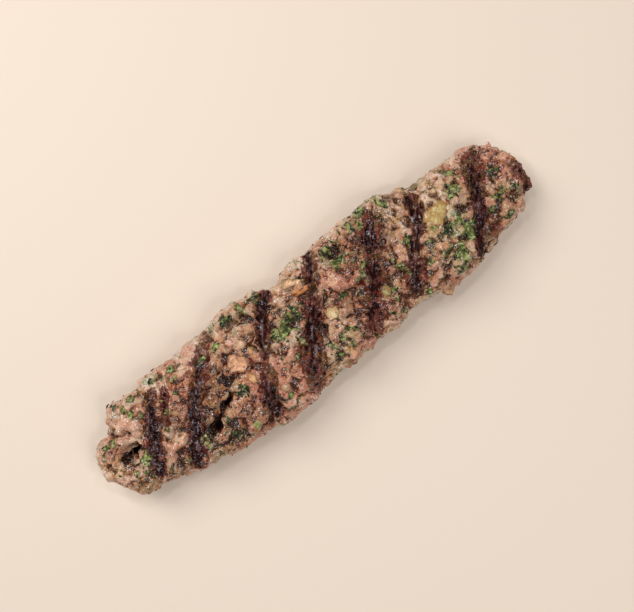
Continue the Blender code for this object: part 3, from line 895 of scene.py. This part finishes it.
# The larger scraps are drawn at random round their chosen places.
draw = np.random.default_rng(5)
kept_places = []
for x, y, reach, count, length, bright in LEAVES:
    for _ in range(round(count * LEAF_SHARE)):
        away, side = reach * math.sqrt(draw.random()), draw.random() * 2 * math.pi
        long, shade = draw.uniform(0.8, 2.6) * length, bright + draw.uniform(-0.35, 0.3)
        kept_places.append((x + away * math.cos(side), y + away * math.sin(side), long, shade))
chosen = bpy.data.meshes.new("chosen_places")
chosen.from_pydata([(x * MM, y * MM, LAID_FROM) for x, y, _, _ in kept_places], [], [])
keep_values(chosen, "length", [length * MM for _, _, length, _ in kept_places])
keep_values(chosen, "bright", [bright for _, _, _, bright in kept_places])
chosen = put("chosen_places", chosen)


def leaf_scrap(number, corners, rings):
    """A flat, ragged, closed scrap of leaf about 1 across, lying in the XY plane."""
    shape = bmesh.new()
    chance = np.random.default_rng(100 + number)
    phase, lobes = chance.uniform(0, FULL_TURN), int(chance.integers(2, 5))
    slim = chance.uniform(0.40, 0.85)
    around = np.linspace(0, 2 * math.pi, corners, endpoint=False)
    around = around + chance.uniform(-0.2, 0.2, corners)
    reach = 0.5 * (1 - LOBE_DEPTH + LOBE_DEPTH * np.cos(lobes * around + phase))
    reach = reach * chance.uniform(0.75, 1.15, corners)
    sides = []
    for height in (0.5, -0.5):
        hub = shape.verts.new((0.0, 0.0, height))
        layers = []
        for share in np.linspace(0, 1, rings + 1)[1:]:
            thick = height * (1.0 - 0.6 * share)
            layers.append([
                shape.verts.new((r * share * math.cos(a), slim * r * share * math.sin(a), thick))
                for r, a in zip(reach, around)
            ])
        sides.append((hub, layers))
    (top, tops), (bottom, bottoms) = sides
    for i in range(corners):
        j = (i + 1) % corners
        shape.faces.new((top, tops[0][i], tops[0][j]))
        shape.faces.new((bottom, bottoms[0][j], bottoms[0][i]))
        for near, far in zip(tops[:-1], tops[1:]):
            shape.faces.new((near[i], far[i], far[j], near[j]))
        for near, far in zip(bottoms[:-1], bottoms[1:]):
            shape.faces.new((near[j], far[j], far[i], near[i]))
        shape.faces.new((tops[-1][i], bottoms[-1][i], bottoms[-1][j], tops[-1][j]))
    mesh = bpy.data.meshes.new(f"scrap_{number}")
    shape.to_mesh(mesh)
    shape.free()
    keep_values(mesh, "lift", points_of(mesh)[:, 2])
    flat = points_of(mesh)
    flat[:, 2] = 0.0
    mesh.vertices.foreach_set("co", flat.astype(np.float32).ravel())
    return bpy.data.objects.new(f"scrap_{number}", mesh)


def scraps(name, numbers, corners, rings):
    box = bpy.data.collections.new(name)
    for number in numbers:
        box.objects.link(leaf_scrap(number, corners, rings))
    return box


small_scraps = scraps("small_scraps", range(6), 7, 1)
large_scraps = scraps("large_scraps", range(6, 16), 12, 3)
parsley_look = bpy.data.materials.new("parsley")

# Flecks are strewn and the larger scraps laid down, and then all of them bend to the meat.
HERBS = {
    "Fleck": 2.3 * MM, "Fleck Spacing": 6.8 * MM, "Leaf Thickness": 0.18 * MM, "Sink": 0.16 * MM,
    "Chosen": chosen, "Soft": soft_meat,
}
wires, place, grow = geometry_tree("parsley", HERBS)
start, spacing = wires["Mesh"], wires["Fleck Spacing"]
soft = start.node("GeometryNodeObjectInfo", {}, {"Object": wires["Soft"]}, "Geometry")
own = start.node("GeometryNodeObjectInfo", {}, {"Object": wires["Chosen"]}, "Geometry")
nearest = start.node("GeometryNodeProximity", {"target_element": "FACES"}, {0: soft}, "Position")
sockets = {"Mesh": soft, "Value": start.node("GeometryNodeInputNormal"), "Sample Position": place}
settings = {"data_type": "FLOAT_VECTOR"}
facing = start.node("GeometryNodeSampleNearestSurface", settings, sockets, "Value")

herby = 0.25 + start.stored("green") * 0.7 + start.stored("flank") * 0.45
herby = herby * (1 - start.stored("under"))
herby = herby * (0.35 + 0.65 * place.speckle(7.0).rise(0.4, 0.6))
herby = herby * (0.35 + 0.65 * start.stored("bar_gap").rise(0.6, 1.4))
points = strewn(start, spacing * 0.3, 3.2 / (spacing * spacing), herby, 31)
length = wires["Fleck"] * (0.45 + 1.2 * start.random(0.0, 1.0, 32) ** 1.5)
points = points.storing("length", length).storing("bright", start.random(0.0, 1.0, 33) ** 1.6)
laid = start.node("GeometryNodeMeshToPoints", {}, {"Mesh": own}).moved(Position=nearest)

scattered = []
for seed, where, box in ((41, points, small_scraps), (51, laid, large_scraps)):
    turn = start.node("FunctionNodeAlignRotationToVector", {"axis": "Z"}, {"Vector": facing})
    turn = spun(start, turn, (-0.9, -0.9, 0.0), (0.9, 0.9, FULL_TURN), seed)
    where = where.storing("sink", start.random(-1.0, 0.7, seed + 1))
    where = where.storing("follow", 1 - start.random(0.0, 1.0, seed + 2).rise(0.92, 1.0))
    sockets = {"Collection": box, "Separate Children": True, "Reset Children": True}
    shapes = start.node("GeometryNodeCollectionInfo", {}, sockets, "Instances")
    pick = {"Pick_Instance": True, "Instance_Index": start.random(0, 12, seed + 3, "INT")}
    scattered.append(placed(start, where, shapes, turn, start.stored("length"), **pick))
follow, sink, lift = (start.stored(name) for name in ("follow", "sink", "lift"))
sockets = {"Factor": 0.30 + follow * 0.35, "A": place, "B": nearest}
bent = start.node("ShaderNodeMix", {"data_type": "VECTOR"}, sockets, "Result")
crinkle = (place.speckle(1.7) - 0.5) * 1.4 * MM
lift = lift * wires["Leaf Thickness"] + sink * wires["Sink"] + crinkle
lift = lift + 0.22 * MM + (1 - follow) * 0.2 * MM
bent = start.vector("ADD", bent, facing.scaled(lift))
leaves = joined(start, *reversed(scattered)).moved(Position=bent)
parsley = grow("parsley", meat, leaves, parsley_look)
kept_low(parsley.data, level=24.4 * MM, share=0.3)
parsley.data.shade_smooth()

start, place, end = surface(parsley_look)
veins_and_sheen = place.speckle(0.7, 3.0, 0.4, 0.6)
mood = start.stored("bright") + (place.speckle(1.6, 2.0, 0.6) - 0.5) * 3.8
film = place.speckle(2.0, 4.0, 0.8, 0.65).rise(0.51, 0.62)
leaf = layered(
    mood.ramp(
        (0.05, (0.009, 0.012, 0.002)), (0.32, (0.031, 0.046, 0.006)), (0.54, (0.086, 0.112, 0.018)),
        (0.76, (0.176, 0.206, 0.044)), (1.0, (0.330, 0.362, 0.120)),
    ),
    # Painted highlights: pale sheen on the leaf.
    (veins_and_sheen.rise(0.57, 0.67) * 0.45, (0.60, 0.64, 0.54)),
    (veins_and_sheen.rise(0.44, 0.32) * 0.5, (0.008, 0.009, 0.001)),
    (film * 0.65, veins_and_sheen.rise(0.3, 0.7).colours((0.07, 0.028, 0.010), (0.36, 0.20, 0.11))),
)
end({"IOR": 1.42, "Specular IOR Level": 0.2, "Coat Roughness": 0.1}, Base_Color=leaf,
    Roughness=0.45 - veins_and_sheen.rise(0.45, 0.6) * 0.2, Coat_Weight=veins_and_sheen.rise(0.50, 0.60) * 0.6,
    Normal=veins_and_sheen.bump(0.3 * MM, 0.9))
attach(parsley, "root")
bpy.data.objects.remove(chosen)


# ---- The onion --------------------------------------------------------------------------------
# Diced onion kneaded into the mince. Where a piece shows it is soft and glassy, pale yellow or
# cream, browner where it met the grill, and held by the meat that closed round its lower half.

YELLOW, CREAM, DULL = (0.45, 0.315, 0.085), (0.66, 0.49, 0.24), (0.25, 0.135, 0.085)
PEACH, BEIGE, PINKISH = (0.62, 0.31, 0.12), (0.70, 0.42, 0.22), (0.78, 0.40, 0.23)
ORANGE, GLASSY, OLIVE = (0.72, 0.25, 0.07), (0.52, 0.33, 0.20), (0.24, 0.20, 0.06)
# Corners (x, y) in millimetres, thickness, share of it sunk, how burnt, colour and, for what
# sticks out of the edge, the level of its middle.
ONION = (
    (((56.8, 5.0), (60.2, 7.8), (65.8, 8.2), (70.6, 7.8), (69.0, 3.4), (65.6, 1.2), (62.4, -1.6),
      (59.6, 1.6)), 3.0, 0.47, 0.10, YELLOW, None),
    (((5.2, -0.6), (7.6, 0.9), (11.2, -0.2), (10.9, -3.2), (8.4, -4.7), (5.6, -3.9)),
     3.0, 0.45, 0.12, CREAM, None),
    (((12.4, -1.8), (14.8, 0.4), (17.6, -1.0), (17.2, -3.4), (14.8, -6.6), (13.0, -4.2)),
     2.6, 0.45, 0.20, DULL, None),
    (((-37.6, 3.2), (-36.6, 6.2), (-33.8, 9.6), (-31.6, 7.4), (-28.8, 6.0), (-29.6, 2.2),
      (-32.6, 0.2), (-35.4, 2.2)), 4.4, 0.50, 0.05, PINKISH, None),
    (((-33.4, -2.4), (-31.6, -0.6), (-29.8, -2.2), (-31.0, -5.6), (-33.0, -5.0)),
     2.0, 0.55, 0.20, PEACH, None),
    (((-25.8, -13.4), (-23.8, -11.8), (-21.4, -13.8), (-23.2, -16.2), (-25.0, -15.6)),
     2.0, 0.50, 0.05, GLASSY, None),
    (((-2.6, 17.0), (-0.4, 19.2), (2.6, 19.4), (4.6, 17.4), (7.6, 14.8), (2.6, 15.8)),
     2.0, 0.45, 0.05, BEIGE, None),
    (((-0.4, 14.4), (3.0, 14.6), (7.6, 12.8), (6.4, 11.2), (3.0, 11.0), (0.2, 12.2)),
     2.0, 0.45, 0.46, ORANGE, None),
    (((47.8, -19.6), (55.0, -19.4), (55.2, -21.8), (51.0, -25.6), (49.0, -24.2)),
     2.2, 0.50, 0.0, BEIGE, 10.5),
    (((27.8, -6.8), (30.8, -5.2), (32.6, -7.8), (30.6, -10.0), (28.4, -9.2)),
     2.6, 0.50, 0.25, OLIVE, None),
    (((-72.7, 1.2), (-72.0, 2.1), (-71.3, 1.4), (-72.0, 0.7)), 1.2, 0.20, 0.0, ORANGE, None),
)
RIM_POINTS, DOME_RINGS = 40, 6
CORNER_ROUNDING = 0.2
EDGE_POWER, DOME_POWER = 0.45, 0.7      # low powers make a blunt edge and a flat dome
PROBE_STEP, PROBE_RING = 5, 0.6         # where the meat's level is taken, of points and radius
FOLLOWED, STEEPEST = 0.8, 0.35          # share of the meat's slope that a piece lies at, limit
DENT, DENT_SIZE = 0.21, 2.2 * MM        # the first as a share of the thickness
GRAIN, GRAIN_SIZE = 0.14 * MM, 0.8 * MM
HIGHEST = 25.2 * MM
ABOVE_ALL = 0.1


def rounded_outline(corners):
    """Points round a closed smooth curve that passes close to the corners."""
    corners = np.array(corners)
    count = len(corners)
    found = []
    for k in range(RIM_POINTS):
        i, t = divmod(k * count / RIM_POINTS, 1.0)
        a, b, c = (corners[(int(i) + n) % count] for n in (-1, 0, 1))
        start, end = (a + b) / 2, (b + c) / 2
        curve = start * (1 - t) ** 2 + b * 2 * t * (1 - t) + end * t * t
        straight = start + (b - start) * min(2 * t, 1.0) + (end - b) * max(2 * t - 1, 0.0)
        found.append(curve * CORNER_ROUNDING + straight * (1 - CORNER_ROUNDING))
    return np.array(found)


def level_under(x, y):
    """Height of the meat under (x, y) in millimetres."""
    return soft_meat.ray_cast((x * MM, y * MM, ABOVE_ALL), (0.0, 0.0, -1.0))[1].z


# Each piece is a blunt dome above and below its outline, tilted as the meat is round it.
onion = bmesh.new()
tone_layer = onion.verts.layers.float_color.new("tone")
burnt_layer = onion.verts.layers.float.new("burnt")
rim_layer = onion.verts.layers.float.new("rim")
for number, (corners, thick, sunk, burnt, tone, stated) in enumerate(ONION):
    rim = rounded_outline(corners)
    middle = rim.mean(axis=0)
    inner = [middle + (p - middle) * PROBE_RING for p in rim[::PROBE_STEP]]
    levels = [level_under(*p) if stated is None else stated * MM for p in inner]
    level = np.mean(levels)
    spans = (rim[::PROBE_STEP] - middle) * PROBE_RING * MM
    slope = np.linalg.lstsq(spans, np.array(levels) - level, rcond=None)[0] * FOLLOWED
    slope *= STEEPEST / max(STEEPEST, np.linalg.norm(slope))
    seed = Vector((number * 3.7, 1.3, number * 1.9))
    rings = []
    for ring in (*range(DOME_RINGS), *range(-1, -DOME_RINGS, -1)):
        angle = math.pi / 2 * ring / DOME_RINGS
        share = math.cos(angle) ** EDGE_POWER
        lift = math.copysign(abs(math.sin(angle)) ** DOME_POWER, ring)
        rings.append([])
        for p in rim:
            flat = middle + (p - middle) * share
            rise = level + slope @ ((flat - middle) * MM) + (lift * 0.5 + 0.5 - sunk) * thick * MM
            spot = Vector((flat[0] * MM, flat[1] * MM, rise))
            spot += DENT * thick * MM * noise.noise_vector(spot / DENT_SIZE + seed)
            spot += GRAIN * noise.noise_vector(spot / GRAIN_SIZE + seed)
            rings[-1].append(onion.verts.new(spot))
            rings[-1][-1][rim_layer] = share if ring >= 0 else 1.0
    upper, lower = rings[:DOME_RINGS], [rings[0], *rings[DOME_RINGS:]]
    for shells, sense in ((upper, 1), (lower, -1)):
        for near, far in zip(shells[:-1], shells[1:]):
            for i in range(RIM_POINTS):
                j = (i + 1) % RIM_POINTS
                onion.faces.new((near[i], near[j], far[j], far[i])[::sense])
        hub = onion.verts.new(sum((v.co for v in shells[-1]), Vector()) / RIM_POINTS)
        for i in range(RIM_POINTS):
            onion.faces.new((shells[-1][i], shells[-1][(i + 1) % RIM_POINTS], hub)[::sense])
        hub[tone_layer], hub[burnt_layer] = (*tone, 1.0), burnt
    for vert in sum(rings, []):
        vert[tone_layer], vert[burnt_layer] = (*tone, 1.0), burnt
bmesh.ops.recalc_face_normals(onion, faces=onion.faces)
for vert in onion.verts:
    vert.co.z = min(vert.co.z, HIGHEST)
diced = bpy.data.meshes.new("onion")
onion.to_mesh(diced)
onion.free()
diced.shade_smooth()
onion = put("onion", diced)

onion_look = bpy.data.materials.new("soft_onion")
diced.materials.append(onion_look)
start, place, end = surface(onion_look)
tone = start.stored("tone", "Color")
cloud = place.speckle(2.4, 4.0, 0.6, 0.6)
grit = place.speckle(0.8, 4.0, 0.0, 0.65)
rim_juice_and_shade = start.stored("rim") + (cloud - 0.5) * 1.2
specks = place.speckle(0.9, 0.0).rise(0.70, 0.74)
flesh = layered(
    tone,
    # Darker brown towards the rim and underneath: meat juice, and painted shade where the meat closes
    # round it.
    (rim_juice_and_shade.rise(0.66, 1.0) * 0.75, (0.24, 0.070, 0.018)),
    (cloud.rise(0.56, 0.40) * 0.6, (0.32, 0.125, 0.040)),
    (grit.rise(0.50, 0.38) * 0.3, (0.22, 0.080, 0.022)),
    ((cloud * 0.5 + grit * 0.5).rise(0.52, 0.60) * 0.4, (0.78, 0.64, 0.40)),
    (specks * 0.8, (0.05, 0.030, 0.014)),
    ((start.stored("burnt") + (cloud - 0.5) * 1.8).rise(0.45, 0.75), (0.10, 0.022, 0.008)),
)
end({"IOR": 1.42, "Specular IOR Level": 0.35, "Coat Roughness": 0.1}, Base_Color=flesh,
    Roughness=0.42 - grit.rise(0.4, 0.6) * 0.2, Coat_Weight=grit.rise(0.46, 0.56) * 0.6,
    Normal=grit.bump(0.4 * MM, 0.7))
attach(onion, "root")


# ---- The pepper -------------------------------------------------------------------------------
# Coarsely ground black pepper and grains of char. They stick to the wet surface all over, and
# gather round the holes and along the edges of the marks of the grill.

PEPPER = {"Grain Size": 0.31 * MM, "Grain Spacing": 4.9 * MM}
pepper_look = bpy.data.materials.new("pepper")
wires, place, grow = geometry_tree("pepper", PEPPER)
start, size, spacing = wires["Mesh"], wires["Grain Size"], wires["Grain Spacing"]
gathered = 0.18 + start.stored("dirty") * 0.7
gathered = gathered + place.speckle(5.0).rise(0.55, 0.68) * 0.5
gathered = gathered * (1 - start.stored("under"))
points = strewn(start, spacing * 0.2, 4.0 / (spacing * spacing), gathered, 71)
spin = start.random((0.0, 0.0, 0.0), (FULL_TURN, FULL_TURN, FULL_TURN), 72, "FLOAT_VECTOR")
spin = start.node("FunctionNodeEulerToRotation", {}, {0: spin})
scale = start.random((0.6, 0.6, 0.5), (1.4, 1.1, 0.9), 73, "FLOAT_VECTOR")
scale = scale.scaled(size * (0.4 + 1.1 * start.random(0.0, 1.0, 74) ** 2.0))
grain = start.node("GeometryNodeMeshIcoSphere", {}, {"Radius": 1.0, "Subdivisions": 2})
grains = placed(start, points, grain, spin, scale)
grains = grains.moved(Offset=place.shift(size * 0.625, size * 0.9))
pepper = grow("pepper", meat, grains, pepper_look)
pepper.data.shade_smooth()

start, place, end = surface(pepper_look)
husk = place.speckle(0.5, 3.0)
end({"IOR": 1.45, "Specular IOR Level": 0.3}, Roughness=0.6 - husk.rise(0.4, 0.6) * 0.3,
    Base_Color=husk.rise(0.35, 0.70).colours((0.008, 0.005, 0.004), (0.060, 0.038, 0.026)))
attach(pepper, "root")
bpy.data.objects.remove(soft_meat)
